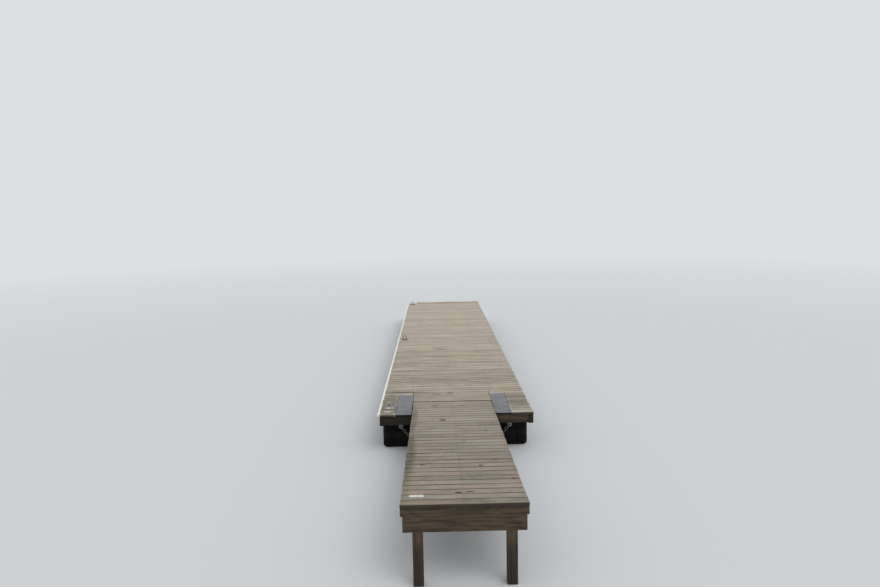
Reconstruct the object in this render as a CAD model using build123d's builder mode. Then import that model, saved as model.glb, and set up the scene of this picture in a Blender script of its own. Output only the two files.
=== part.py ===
from build123d import *
import os
from math import asin, cos, floor, radians, sin, sqrt, tan

# Floating timber jetty: a boarded platform on plastic floats, and a gangway that is hinged
# in a notch at its near end and lies on a sill at the shore.
# Millimetres. X is to the right, Y from the shore out over the water, Z up. The origin is at
# the middle of the jetty's whole length and width, at the underside of the floats.

# Boards
board_width = 120
board_gap = 8
board_thickness = 28
board_pitch = board_width + board_gap

# Platform frame
platform_boards = 92
platform_width = 2280
beam_depth = 145
side_beam_thickness = 75
joist_thickness = 48
fascia_thickness = 28
fascia_depth = 105
nosing = 25

# Edge strip along the left side
strip_width = 35
strip_depth = 32
strip_radius = 14

# Kerb on the far end
kerb_width = 60
kerb_height = 45
kerb_chamfer = 8
kerb_start = 255

# Floats
float_width = 600
float_length = 1000
float_height = 400
float_side_setback = 35
float_end_setback = 200
floats_per_row = 4
float_flange_reach = 25
float_flange_thickness = 16
float_flange_cut = 60
float_corner_radius = 70
float_bottom_chamfer = 30
float_groove_width = 52
float_groove_depth = 14
float_groove_margin = 50
grooves_on_long_side = 5
grooves_on_short_side = 2

# Gangway
gangway_boards = 32
gangway_width = 1200
gangway_offset = -28
gangway_overlap = 610
shore_rise = 243
stringer_depth = 95
spacer_rows = 4
notch_clearance = 10

# Threshold panel and cover plates beside the gangway
panel_end_boards = 9
panel_clearance = 4
plate_boards = 8
plate_width = 240
plate_thickness = 6
plate_clearance = 3

# Hinge between platform and gangway
hinge_gap = 30
hinge_header_setback = 15
hinge_edge_distance = 120
pin_diameter = 24
pin_clearance = 0.3
pin_overhang = 14
pin_head_diameter = 38
pin_head_thickness = 10
lug_radius = 22
gangway_lug_width = 70
platform_lug_width = 30
lug_side_clearance = 3
hinge_plate_thickness = 6
hinge_plate_height = 90

# Bent bars of the rings and the chain links: flat sides, and straight chords round a bend
bar_sides = 8
bend_corners = 6

# Mooring rings on the left side
ring_wire = 14
ring_width = 84
ring_height = 96
ring_plate_length = 130
ring_plate_width = 90
ring_plate_thickness = 8
ring_plate_cut = 12
ring_edge_distance = 125
near_ring_distance = 320
middle_ring_distance = 5660
far_ring_distance = 11430

# Mooring chains and their hangers
chain_wire = 13
link_length = 48
link_width = 21
link_clearance = 0.3
chain_angle = 50
chain_floor_gap = 8
left_chain_distance = 114
right_chain_distance = 170
hanger_thickness = 10
hanger_width = 60
hanger_hole = 24
hanger_top_margin = 25
hanger_hole_drop = 42

# Sill and posts under the shore end
sill_thickness = 98
sill_depth = 148
sill_side_inset = 20
post_size = 98
post_end_inset = 90
seat_gap = 0.3

# Lengths and levels that follow
platform_length = platform_boards * board_pitch - board_gap
gangway_length = gangway_boards * board_pitch - board_gap
slope = asin(shore_rise / gangway_length)
beam_top = float_height + beam_depth
deck_top = beam_top + board_thickness
gangway_reach = gangway_length * cos(slope) + board_thickness * sin(slope) - gangway_overlap

# Stations along Y
near_y = (gangway_reach - platform_length) / 2
far_y = near_y + platform_length
frame_near_y = near_y + nosing
frame_far_y = far_y - nosing
fascia_back_y = frame_near_y + fascia_thickness
near_tie_y = fascia_back_y + joist_thickness / 2
far_header_y = frame_far_y - fascia_thickness - joist_thickness
hinge_end_y = near_y + gangway_overlap
hinge_y = hinge_end_y + hinge_gap / 2
hinge_z = beam_top - stringer_depth / 2
hinge_along = hinge_gap / 2 * cos(slope) + (deck_top - hinge_z) * sin(slope)
hinge_reach = hinge_along + hinge_header_setback
panel_near_y = hinge_end_y + hinge_gap
panel_far_y = near_y + panel_end_boards * board_pitch
notch_header_y = hinge_y + hinge_reach
plate_far_y = near_y + plate_boards * board_pitch
plate_length = plate_far_y - near_y

# Stations along X
left_x = -platform_width / 2
right_x = platform_width / 2
deck_left_x = left_x + strip_width
left_bay_x = deck_left_x + side_beam_thickness
right_bay_x = right_x - side_beam_thickness
notch_left_x = gangway_offset - gangway_width / 2 - notch_clearance
notch_right_x = gangway_offset + gangway_width / 2 + notch_clearance
left_joist_x = notch_left_x - joist_thickness
right_joist_x = notch_right_x + joist_thickness
centre_left_x = gangway_offset - joist_thickness / 2
centre_right_x = gangway_offset + joist_thickness / 2
left_plate_x = notch_left_x - plate_width
right_plate_x = notch_right_x + plate_width

# The first float is set back from the near end, and its second row of ties lies under the
# far ends of the cover plates
first_float_y = near_y + float_end_setback + float_length / 2
float_pitch = (platform_length - 2 * float_end_setback - float_length) / (floats_per_row - 1)
tie_offset = plate_far_y - first_float_y

# Directions of a profile that is drawn from the side and runs along X
along_x = {"x_dir": (0, 1, 0), "z_dir": (1, 0, 0)}

os.makedirs("parts", exist_ok=True)


def keep(piece, label):
    piece.part.label = label
    export_step(piece.part, f"parts/{label}.step")


def timber(label, spans, bottom, depth, level=Plane.XY):
    # Straight timber on a level: each span is its low and high x and its low and high y
    with BuildPart() as piece:
        with BuildSketch(level.offset(bottom)):
            for low_x, high_x, low_y, high_y in spans:
                with Locations(((low_x + high_x) / 2, (low_y + high_y) / 2)):
                    Rectangle(high_x - low_x, high_y - low_y)
        extrude(amount=depth)
    keep(piece, label)


def tie_spans(low_x, high_x, rows):
    half = joist_thickness / 2
    return [(low_x, high_x, row - half, row + half) for row in rows]


def half_turn(centre_x, centre_y, radius, start_angle):
    # Corners of a bend whose chords all lie against the bend's arc, counter-clockwise
    step = radians(180 / bend_corners)
    reach = radius / cos(step / 2)
    angles = [radians(start_angle) + step * (corner + 1 / 2) for corner in range(bend_corners)]
    return [(centre_x + reach * cos(angle), centre_y + reach * sin(angle)) for angle in angles]


# Platform deck, open at the notch, the threshold panel and the cover plates
with BuildPart() as platform_deck:
    with BuildSketch(Plane(((deck_left_x + right_x) / 2, (near_y + far_y) / 2, beam_top))):
        Rectangle(right_x - deck_left_x, platform_length)
    extrude(amount=board_thickness)
    with BuildSketch(Plane((gangway_offset, near_y, beam_top))):
        Rectangle(
            notch_right_x - notch_left_x,
            panel_far_y - near_y,
            align=(Align.CENTER, Align.MIN),
        )
        Rectangle(right_plate_x - left_plate_x, plate_length, align=(Align.CENTER, Align.MIN))
    extrude(amount=board_thickness, mode=Mode.SUBTRACT)
keep(platform_deck, "platform_deck")

timber(
    "threshold_panel",
    [
        (
            notch_left_x + panel_clearance,
            notch_right_x - panel_clearance,
            panel_near_y,
            panel_far_y - panel_clearance,
        )
    ],
    beam_top,
    board_thickness,
)

# Beams and joists along the platform
beam_bottom = float_height
side_y = (frame_near_y, frame_far_y)
joist_y = (fascia_back_y, far_header_y)
timber("left_side_beam", [(deck_left_x, left_bay_x, *side_y)], beam_bottom, beam_depth)
timber("right_side_beam", [(right_bay_x, right_x, *side_y)], beam_bottom, beam_depth)
timber("left_notch_joist", [(left_joist_x, notch_left_x, *joist_y)], beam_bottom, beam_depth)
timber("right_notch_joist", [(notch_right_x, right_joist_x, *joist_y)], beam_bottom, beam_depth)
timber(
    "centre_joist",
    [(centre_left_x, centre_right_x, notch_header_y + joist_thickness, far_header_y)],
    beam_bottom,
    beam_depth,
)

# Headers and fascias across the platform
timber(
    "notch_header",
    [(notch_left_x, notch_right_x, notch_header_y, notch_header_y + joist_thickness)],
    beam_bottom,
    beam_depth,
)
timber(
    "far_header",
    [(left_bay_x, right_bay_x, far_header_y, far_header_y + joist_thickness)],
    beam_bottom,
    beam_depth,
)
fascia_bottom = beam_top - fascia_depth
near_fascia_y = (frame_near_y, fascia_back_y)
far_fascia_y = (frame_far_y - fascia_thickness, frame_far_y)
timber("left_near_fascia", [(left_bay_x, notch_left_x, *near_fascia_y)], fascia_bottom, fascia_depth)
timber(
    "right_near_fascia",
    [(notch_right_x, right_bay_x, *near_fascia_y)],
    fascia_bottom,
    fascia_depth,
)
timber("far_fascia", [(left_bay_x, right_bay_x, *far_fascia_y)], fascia_bottom, fascia_depth)

# Cross ties in the four bays, two rows above each float
float_rows = [first_float_y + float_pitch * index for index in range(floats_per_row)]
tie_rows = [row + side * tie_offset for row in float_rows for side in (-1, 1)]
outer_rows = [near_tie_y] + tie_rows
inner_rows = [panel_far_y] + tie_rows[1:]
left_ties = tie_spans(left_bay_x, left_joist_x, outer_rows)
left_ties += tie_spans(notch_left_x, centre_left_x, inner_rows)
timber("left_cross_ties", left_ties, beam_bottom, beam_depth)
right_ties = tie_spans(centre_right_x, notch_right_x, inner_rows)
right_ties += tie_spans(right_joist_x, right_bay_x, outer_rows)
timber("right_cross_ties", right_ties, beam_bottom, beam_depth)

# Ledgers that carry the cover plates, and the plates flush with the boards
ledger_thickness = board_thickness - plate_thickness
left_plate_span = (left_plate_x + plate_clearance, notch_left_x)
right_plate_span = (notch_right_x, right_plate_x - plate_clearance)
ledger_length = plate_far_y - plate_clearance - frame_near_y
window_rows = (near_tie_y, tie_rows[0], plate_far_y)
with BuildPart() as plate_ledgers:
    for low_x, high_x in (left_plate_span, right_plate_span):
        middle_x = (low_x + high_x) / 2
        with BuildSketch(Plane((middle_x, frame_near_y, beam_top))):
            Rectangle(high_x - low_x, ledger_length, align=(Align.CENTER, Align.MIN))
        extrude(amount=ledger_thickness)
        for low_row, high_row in zip(window_rows, window_rows[1:]):
            with BuildSketch(Plane((middle_x, (low_row + high_row) / 2, beam_top))):
                Rectangle(high_x - low_x - 2 * joist_thickness, high_row - low_row - joist_thickness)
            extrude(amount=ledger_thickness, mode=Mode.SUBTRACT)
keep(plate_ledgers, "plate_ledgers")
for side, (low_x, high_x) in (("left", left_plate_span), ("right", right_plate_span)):
    with BuildPart() as cover_plate:
        with BuildSketch(Plane(((low_x + high_x) / 2, near_y, beam_top + ledger_thickness))):
            Rectangle(
                high_x - low_x, plate_length - plate_clearance, align=(Align.CENTER, Align.MIN)
            )
        extrude(amount=plate_thickness)
    keep(cover_plate, f"{side}_cover_plate")

# Rounded edge strip along the left side beam
with BuildPart() as left_edge_strip:
    strip_plane = Plane((left_x, near_y, deck_top - strip_depth), x_dir=(1, 0, 0), z_dir=(0, -1, 0))
    with BuildSketch(strip_plane) as strip_profile:
        Rectangle(strip_width, strip_depth, align=(Align.MIN, Align.MIN))
        outer_corners = strip_profile.vertices().group_by(Axis.X)[0]
        fillet(outer_corners, radius=strip_radius)
    extrude(amount=-platform_length)
keep(left_edge_strip, "left_edge_strip")

# Kerb on the boards at the far end, which stops short of the far mooring ring
with BuildPart() as far_kerb:
    with BuildSketch(Plane((deck_left_x + kerb_start, far_y, deck_top), **along_x)):
        Rectangle(kerb_width, kerb_height, align=(Align.MAX, Align.MIN))
    extrude(amount=right_x - deck_left_x - kerb_start)
    chamfer(far_kerb.edges().filter_by(Axis.X).group_by(Axis.Z)[-1], length=kerb_chamfer)
keep(far_kerb, "far_kerb")

# Floats: a moulded tank with upright grooves and a bolting flange round its top
tank_width = float_width - 2 * float_flange_reach
tank_length = float_length - 2 * float_flange_reach
groove_height = float_height - float_flange_thickness - 2 * float_groove_margin
long_groove_pitch = (tank_length - 2 * float_corner_radius) / grooves_on_long_side
short_groove_pitch = (tank_width - 2 * float_corner_radius) / grooves_on_short_side
float_centre_x = right_x - float_side_setback - float_width / 2
for side, centre_x in (("left", -float_centre_x), ("right", float_centre_x)):
    for index, centre_y in enumerate(float_rows, start=1):
        base = Plane((centre_x, centre_y, 0))
        with BuildPart() as tank:
            with BuildSketch(base):
                RectangleRounded(tank_width, tank_length, float_corner_radius)
            extrude(amount=float_height)
            chamfer(tank.faces().sort_by(Axis.Z)[0].edges(), length=float_bottom_chamfer)
            with BuildSketch(base.offset(float_groove_margin)):
                with GridLocations(tank_width, long_groove_pitch, 2, grooves_on_long_side):
                    Rectangle(2 * float_groove_depth, float_groove_width)
                with GridLocations(short_groove_pitch, tank_length, grooves_on_short_side, 2):
                    Rectangle(float_groove_width, 2 * float_groove_depth)
            extrude(amount=groove_height, mode=Mode.SUBTRACT)
            with BuildSketch(base.offset(float_height - float_flange_thickness)) as flange:
                Rectangle(float_width, float_length)
                chamfer(flange.vertices(), length=float_flange_cut)
            extrude(amount=float_flange_thickness)
        keep(tank, f"{side}_float_{index}")

# A bar's section is turned so that its flats face along and across the bend
flat_turn = 180 / bar_sides

# Mooring rings: a bent bar standing on a base plate
ring_x = deck_left_x + ring_edge_distance
ring_leg = (ring_width - ring_wire) / 2
for place, distance in (
    ("near", near_ring_distance),
    ("middle", middle_ring_distance),
    ("far", far_ring_distance),
):
    plate_plane = Plane((ring_x, near_y + distance, deck_top))
    ring_plane = Plane(
        (ring_x, near_y + distance, deck_top + ring_plate_thickness / 2),
        x_dir=(1, 0, 0),
        z_dir=(0, -1, 0),
    )
    with BuildPart() as mooring_ring:
        with BuildSketch(plate_plane) as ring_plate:
            Rectangle(ring_plate_length, ring_plate_width)
            chamfer(ring_plate.vertices(), length=ring_plate_cut)
        extrude(amount=ring_plate_thickness)
        with BuildLine(ring_plane) as bar_path:
            shoulder = ring_height - ring_wire / 2 - ring_leg
            Polyline((ring_leg, 0), *half_turn(0, shoulder, ring_leg, 0), (-ring_leg, 0))
        with BuildSketch(Plane(bar_path.wire() @ 0, x_dir=(1, 0, 0), z_dir=(0, 0, 1))):
            RegularPolygon(ring_wire / 2, bar_sides, major_radius=False, rotation=flat_turn)
        sweep(path=bar_path.wire(), transition=Transition.RIGHT)
    keep(mooring_ring, f"{place}_mooring_ring")

# Hangers for the mooring chains, on the ties behind the near fascias
hanger_y = near_tie_y + joist_thickness / 2
hole_z = float_height - hanger_hole_drop
hanger_height = beam_top - hanger_top_margin - hole_z
left_chain_x = left_joist_x - left_chain_distance
right_chain_x = right_joist_x + right_chain_distance
for side, centre_x in (("left", left_chain_x), ("right", right_chain_x)):
    hanger_plane = Plane((centre_x, hanger_y, hole_z), x_dir=(-1, 0, 0), z_dir=(0, 1, 0))
    with BuildPart() as hanger:
        with BuildSketch(hanger_plane):
            Circle(hanger_width / 2)
            Rectangle(hanger_width, hanger_height, align=(Align.CENTER, Align.MIN))
            Circle(hanger_hole / 2, mode=Mode.SUBTRACT)
        extrude(amount=hanger_thickness)
    keep(hanger, f"{side}_chain_hanger")

# Mooring chains: interlocking round-bar links that run down and inwards from the hangers,
# each turned a quarter from the last, and stop just above the level of the floats' undersides
link_pitch = link_length - link_clearance
link_bend = (link_width + chain_wire) / 2
link_straight = (link_length + chain_wire) / 2 - link_bend
inner_bend = link_width / 2
bend_sag = inner_bend - sqrt(inner_bend**2 - (hanger_thickness / 2) ** 2)
first_seat = hanger_hole / 2 - link_clearance - chain_wire - bend_sag
first_centre = first_seat + chain_wire + link_length / 2
chain_drop = radians(chain_angle)
chain_run = (hole_z - chain_floor_gap) / sin(chain_drop)
half_link = link_length / 2 + chain_wire + link_bend
link_count = floor((chain_run - first_centre - half_link) / link_pitch) + 1
chain_y = hanger_y + hanger_thickness / 2
for side, centre_x, inwards in (("left", left_chain_x, 1), ("right", right_chain_x, -1)):
    down = Vector(inwards * cos(chain_drop), 0, -sin(chain_drop))
    with BuildPart() as mooring_chain:
        for index in range(link_count):
            middle = Vector(centre_x, chain_y, hole_z) + down * (first_centre + index * link_pitch)
            across = Vector(0, 1, 0)
            face = down.cross(across) if index % 2 == 0 else across
            with BuildLine(Plane(middle, x_dir=down, z_dir=face)) as half_path:
                far_bend = half_turn(link_straight, 0, link_bend, -90)
                Polyline((0, -link_bend), *far_bend, (0, link_bend))
            with BuildSketch(Plane(half_path.wire() @ 0, x_dir=face, z_dir=down)):
                RegularPolygon(chain_wire / 2, bar_sides, major_radius=False, rotation=flat_turn)
            half_link = sweep(path=half_path.wire(), transition=Transition.RIGHT)
            mirror(half_link, about=Plane(middle, z_dir=down))
    keep(mooring_chain, f"{side}_mooring_chain")

# Hinge brackets on the notch header, each with two lugs
hinge_spread = gangway_width / 2 - hinge_edge_distance
hinge_places = (gangway_offset - hinge_spread, gangway_offset + hinge_spread)
lug_start = gangway_lug_width / 2 + lug_side_clearance
bracket_half = lug_start + platform_lug_width
bore_radius = pin_diameter / 2 + pin_clearance
with BuildPart() as platform_hinge_brackets:
    for hinge_x in hinge_places:
        for lug_x in (hinge_x - bracket_half, hinge_x + lug_start):
            with BuildSketch(Plane((lug_x, hinge_y, hinge_z), **along_x)):
                Circle(lug_radius)
                Rectangle(hinge_reach, 2 * lug_radius, align=(Align.MIN, Align.CENTER))
                Circle(bore_radius, mode=Mode.SUBTRACT)
            extrude(amount=platform_lug_width)
        with BuildSketch(Plane((hinge_x - bracket_half, hinge_y + hinge_reach, hinge_z), **along_x)):
            Rectangle(hinge_plate_thickness, hinge_plate_height, align=(Align.MAX, Align.CENTER))
        extrude(amount=2 * bracket_half)
keep(platform_hinge_brackets, "platform_hinge_brackets")

# Hinge pins, with a head at the outer end
with BuildPart() as hinge_pins:
    for hinge_x, outwards in zip(hinge_places, (-1, 1)):
        head_plane = Plane(
            (hinge_x + outwards * (bracket_half + pin_clearance), hinge_y, hinge_z),
            x_dir=(0, 1, 0),
            z_dir=(outwards, 0, 0),
        )
        with BuildSketch(head_plane):
            Circle(pin_head_diameter / 2)
        extrude(amount=pin_head_thickness)
        with BuildSketch(head_plane):
            Circle(pin_diameter / 2)
        extrude(amount=-(2 * bracket_half + pin_overhang))
keep(hinge_pins, "hinge_pins")

# The gangway's own plane: its origin is the top edge of its hinged end, and its Y runs down
# the slope towards the platform
gangway_plane = Plane(
    (gangway_offset, hinge_end_y, deck_top), x_dir=(1, 0, 0), z_dir=(0, sin(slope), cos(slope))
)
hinge_header_y = -hinge_header_setback
shore_header_y = nosing - gangway_length
frame_depth = board_thickness + stringer_depth
half_width = gangway_width / 2
half_joist = joist_thickness / 2
stringer_y = (shore_header_y + joist_thickness, hinge_header_y - joist_thickness)

timber(
    "gangway_deck",
    [(-half_width, half_width, -gangway_length, 0)],
    -board_thickness,
    board_thickness,
    gangway_plane,
)
for name, low_x in (
    ("left", -half_width),
    ("centre", -half_joist),
    ("right", half_width - joist_thickness),
):
    timber(
        f"{name}_gangway_stringer",
        [(low_x, low_x + joist_thickness, *stringer_y)],
        -frame_depth,
        stringer_depth,
        gangway_plane,
    )
header_rows = (shore_header_y + half_joist, hinge_header_y - half_joist)
timber(
    "gangway_headers",
    tie_spans(-half_width, half_width, header_rows),
    -frame_depth,
    stringer_depth,
    gangway_plane,
)
spacer_pitch = (stringer_y[1] - stringer_y[0]) / (spacer_rows + 1)
spacer_places = [stringer_y[0] + spacer_pitch * (row + 1) for row in range(spacer_rows)]
left_gap = (joist_thickness - half_width, -half_joist)
right_gap = (half_joist, half_width - joist_thickness)
timber(
    "gangway_spacers",
    tie_spans(*left_gap, spacer_places) + tie_spans(*right_gap, spacer_places),
    -frame_depth,
    stringer_depth,
    gangway_plane,
)

# Hinge lugs on the gangway's end header, between the lugs of the platform's brackets
down_slope = (0, cos(slope), -sin(slope))
with BuildPart() as gangway_hinge_lugs:
    for hinge_x in hinge_places:
        lug_plane = Plane(
            (hinge_x - gangway_lug_width / 2, hinge_y, hinge_z), x_dir=down_slope, z_dir=(1, 0, 0)
        )
        with BuildSketch(lug_plane):
            Circle(lug_radius)
            Rectangle(hinge_reach, 2 * lug_radius, align=(Align.MAX, Align.CENTER))
            with Locations((-hinge_reach, 0)):
                Rectangle(hinge_plate_thickness, hinge_plate_height, align=(Align.MIN, Align.CENTER))
            Circle(bore_radius, mode=Mode.SUBTRACT)
        extrude(amount=gangway_lug_width)
keep(gangway_hinge_lugs, "gangway_hinge_lugs")


def gangway_underside(y):
    return deck_top + (hinge_end_y - y) * tan(slope) - frame_depth / cos(slope)


# Sill under the shore end, its top cut to the gangway's slope
sill_low_y = hinge_end_y + shore_header_y * cos(slope) - frame_depth * sin(slope)
sill_high_y = sill_low_y + sill_thickness
sill_bottom = gangway_underside(sill_high_y) - seat_gap - sill_depth
sill_half = half_width - sill_side_inset
with BuildPart() as shore_sill:
    with BuildSketch(Plane((gangway_offset - sill_half, 0, 0), **along_x)):
        with BuildLine():
            Polyline(
                (sill_low_y, sill_bottom),
                (sill_high_y, sill_bottom),
                (sill_high_y, gangway_underside(sill_high_y) - seat_gap),
                (sill_low_y, gangway_underside(sill_low_y) - seat_gap),
                close=True,
            )
        make_face()
    extrude(amount=2 * sill_half)
keep(shore_sill, "shore_sill")

# Posts that carry the sill
post_y = (sill_low_y + sill_high_y) / 2
post_spread = sill_half - post_end_inset - post_size / 2
half_post = post_size / 2
timber(
    "shore_posts",
    [
        (post_x - half_post, post_x + half_post, post_y - half_post, post_y + half_post)
        for post_x in (gangway_offset - post_spread, gangway_offset + post_spread)
    ],
    0,
    sill_bottom,
)
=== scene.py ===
import math
import random

import bmesh
import bpy
import numpy as np
from mathutils import Matrix, Vector


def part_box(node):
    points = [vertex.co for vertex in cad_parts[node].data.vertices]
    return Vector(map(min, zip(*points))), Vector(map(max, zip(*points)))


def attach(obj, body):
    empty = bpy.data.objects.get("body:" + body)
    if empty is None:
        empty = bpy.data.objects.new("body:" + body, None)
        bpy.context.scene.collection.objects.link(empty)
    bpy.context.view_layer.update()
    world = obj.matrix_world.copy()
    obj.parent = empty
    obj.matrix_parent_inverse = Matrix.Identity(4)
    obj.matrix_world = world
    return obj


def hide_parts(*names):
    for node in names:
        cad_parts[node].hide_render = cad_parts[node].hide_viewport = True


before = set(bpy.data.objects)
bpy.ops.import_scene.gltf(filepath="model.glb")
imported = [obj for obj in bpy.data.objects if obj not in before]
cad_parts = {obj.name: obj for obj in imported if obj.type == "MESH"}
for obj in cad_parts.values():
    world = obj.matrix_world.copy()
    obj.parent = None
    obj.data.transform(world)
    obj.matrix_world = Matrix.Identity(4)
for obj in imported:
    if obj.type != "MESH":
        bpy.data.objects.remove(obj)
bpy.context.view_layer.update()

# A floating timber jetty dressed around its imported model: weathered boards, screws, bolts,
# dark frame timber, black floats, grey steel and a white edge strip. Everything is in metres.
rng = random.Random(41)
xAxis, yAxis, zAxis = Vector((1, 0, 0)), Vector((0, 1, 0)), Vector((0, 0, 1))
print("frame loaded")


# Helpers for shader trees

def fromScreen(red, green, blue):
    # A colour as a screen shows it, 0 to 255, as the linear colour that a shader takes
    linear = (((v / 255 + 0.055) / 1.055) ** 2.4 if v > 10 else v / 3294.6 for v in (red, green, blue))
    return (*linear, 1.0)


def feed(tree, socket, value):
    if isinstance(value, bpy.types.NodeSocket):
        tree.links.new(value, socket)
    else:
        socket.default_value = value


def addNode(tree, kind, inputs=None, **settings):
    made = tree.nodes.new(kind)
    for name, value in settings.items():
        setattr(made, name, value)
    for name, value in (inputs or {}).items():
        feed(tree, made.inputs[name], value)
    return made


def mathNode(tree, operation, *values):
    return addNode(tree, "ShaderNodeMath", dict(enumerate(values)), operation=operation).outputs[0]


def times(tree, first, second):
    return mathNode(tree, "MULTIPLY", first, second)


def apart(tree, first, second):
    return mathNode(tree, "ABSOLUTE", mathNode(tree, "SUBTRACT", first, second))


def weighed(tree, start, *parts):
    # A start value plus each part times its share
    for value, share in parts:
        start = mathNode(tree, "MULTIPLY_ADD", value, share, start)
    return start


def vectorMath(tree, operation, *values):
    made = addNode(tree, "ShaderNodeVectorMath", dict(enumerate(values)), operation=operation)
    return made.outputs["Value" if operation == "LENGTH" else "Vector"]


def noise(tree, vector, scale, detail=3.0, roughness=0.55):
    # A scale of three numbers draws the pattern out along the axis with the smallest
    if isinstance(scale, tuple):
        vector, scale = vectorMath(tree, "MULTIPLY", vector, scale), 1.0
    return addNode(
        tree, "ShaderNodeTexNoise",
        {"Vector": vector, "Scale": scale, "Detail": detail, "Roughness": roughness},
    ).outputs["Fac"]


def remap(tree, value, low, high, newLow=0.0, newHigh=1.0):
    return addNode(
        tree, "ShaderNodeMapRange",
        {"Value": value, "From Min": low, "From Max": high, "To Min": newLow, "To Max": newHigh},
    ).outputs["Result"]


def mixColour(tree, factor, first, second):
    # A mix node keeps its colour sockets after those for numbers and vectors
    return addNode(
        tree, "ShaderNodeMix", {0: factor, 6: first, 7: second}, data_type="RGBA"
    ).outputs[2]


def betweenTones(tree, look, factor):
    return mixColour(tree, factor, fromScreen(*look["dark"]), fromScreen(*look["light"]))


def layTones(tree, look, colour, *layers):
    # A layer is a mask, its strength and its tone; strength is a number or a key of the look
    for mask, strength, tone in layers:
        mask = times(tree, mask, look.get(strength, strength))
        colour = mixColour(tree, mask, colour, fromScreen(*look[tone]))
    return colour


def splitVector(tree, vector):
    return addNode(tree, "ShaderNodeSeparateXYZ", {"Vector": vector}).outputs


def readAttribute(tree, name, output="Fac"):
    return addNode(tree, "ShaderNodeAttribute", attribute_name=name).outputs[output]


def objectPlace(tree):
    return addNode(tree, "ShaderNodeTexCoord").outputs["Object"]


def newGroup(name, inputs):
    # An input with no number is a vector
    group = bpy.data.node_groups.new(name, "ShaderNodeTree")
    for socketName, value in inputs.items():
        kind = "NodeSocketVector" if value is None else "NodeSocketFloat"
        socket = group.interface.new_socket(socketName, in_out="INPUT", socket_type=kind)
        if value is not None:
            socket.default_value = value
    return group, group.nodes.new("NodeGroupInput").outputs


def giveOut(group, values):
    for name in values:
        group.interface.new_socket(name, in_out="OUTPUT", socket_type="NodeSocketFloat")
    addNode(group, "NodeGroupOutput", values)
    return group


def useGroup(tree, group, inputs):
    return addNode(tree, "ShaderNodeGroup", inputs, node_tree=group).outputs


def newMaterial(name):
    material = bpy.data.materials.new(name)
    material.use_nodes = True
    tree = material.node_tree
    tree.nodes.clear()
    shader = addNode(tree, "ShaderNodeBsdfPrincipled")
    addNode(tree, "ShaderNodeOutputMaterial", {"Surface": shader.outputs[0]})
    return material, tree, shader


def connect(tree, shader, values, height=None, depth=0.001):
    for name, value in values.items():
        feed(tree, shader.inputs[name], value)
    if height is not None:
        bump = addNode(tree, "ShaderNodeBump", {"Height": height, "Strength": 1.0, "Distance": depth})
        feed(tree, shader.inputs["Normal"], bump.outputs["Normal"])


# Effects that several materials share

# How often each pattern repeats in a metre: along the grain, across it and into the wood
woodPattern = {
    "slow": (0.9, 5.0, 5.0),
    "streaks": (2.0, 46.0, 46.0),
    "fibres": (7.0, 330.0, 330.0),
    "patches": (3.5, 9.0, 9.0),
    "slits": (2.6, 120.0, 120.0),
    "knots": (2.6, 6.4, 0.0),
    "rings": 58.0,
    "ringDrift": 9.0,
    "knotCore": 0.035,        # the smallest knot, as a share of its cell
    "knotSpread": 0.05,
}


def makeWoodGrain():
    # The vector runs along the grain in x, across it in y and into the wood in z
    group, given = newGroup("woodGrain", {"Vector": None, "Knot share": 0.1})
    place = given["Vector"]
    slow = noise(group, place, woodPattern["slow"], 2.0)
    streaks = noise(group, place, woodPattern["streaks"], 4.0, 0.6)
    fibres = noise(group, place, woodPattern["fibres"], 3.0, 0.6)
    across = splitVector(group, place)["Y"]
    drift = weighed(
        group, times(group, across, woodPattern["rings"]), (slow, woodPattern["ringDrift"])
    )
    rings = remap(group, mathNode(group, "PINGPONG", drift, 0.5), 0.06, 0.44)
    patches = noise(group, place, woodPattern["patches"], 2.0)
    slits = noise(group, place, woodPattern["slits"], 2.0, 0.5)
    cracks = times(group, remap(group, slits, 0.66, 0.72), remap(group, patches, 0.5, 0.6))
    cells = addNode(group, "ShaderNodeTexVoronoi", {
        "Vector": vectorMath(group, "MULTIPLY", place, woodPattern["knots"]),
        "Scale": 1.0, "Randomness": 0.85,
    })
    fate = splitVector(group, cells.outputs["Color"])
    reach = weighed(group, woodPattern["knotCore"], (fate["Y"], woodPattern["knotSpread"]))
    chosen = mathNode(group, "LESS_THAN", fate["X"], given["Knot share"])
    core = mathNode(group, "SUBTRACT", reach, cells.outputs["Distance"])
    knots = times(group, remap(group, core, 0.0, 0.022), chosen)
    height = weighed(
        group, times(group, fibres, 0.35), (streaks, 0.5), (rings, 0.22), (cracks, -0.9)
    )
    return giveOut(group, {
        "Streaks": streaks, "Fibres": fibres, "Rings": rings, "Cracks": cracks, "Knots": knots,
        "Height": height,
    })


def makeStains():
    # Blotches of dirt, green growth and bleached places at the scale of whole boards
    group, given = newGroup("stains", {"Vector": None, "Spread": 0.5})
    low = mathNode(group, "SUBTRACT", 0.74, times(group, given["Spread"], 0.3))
    high = mathNode(group, "ADD", low, 0.16)
    blotches = {}
    for name, shift, scale in (("Dirt", 0.0, 2.6), ("Growth", 13.0, 1.7), ("Bleach", 31.0, 3.4)):
        moved = vectorMath(group, "ADD", given["Vector"], (shift, -shift, shift))
        blotches[name] = remap(group, noise(group, moved, scale, 6.0, 0.62), low, high)
    return giveOut(group, blotches)


def makeSoftSpot():
    # One place on the deck with a ragged edge, for a mark that shows in one spot only: a stain, a painted
    # sheen or painted shade
    group, given = newGroup("softSpot", {"Vector": None, "Centre": None, "Reach": None})
    offset = vectorMath(group, "SUBTRACT", given["Vector"], given["Centre"])
    distance = vectorMath(group, "LENGTH", vectorMath(group, "DIVIDE", offset, given["Reach"]))
    ragged = noise(group, given["Vector"], (11.0, 48.0, 1.0), 6.0, 0.7)
    edge = weighed(group, mathNode(group, "ADD", distance, -0.85), (ragged, 1.7))
    return giveOut(group, {"Spot": remap(group, edge, 1.0, 0.55)})


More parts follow.
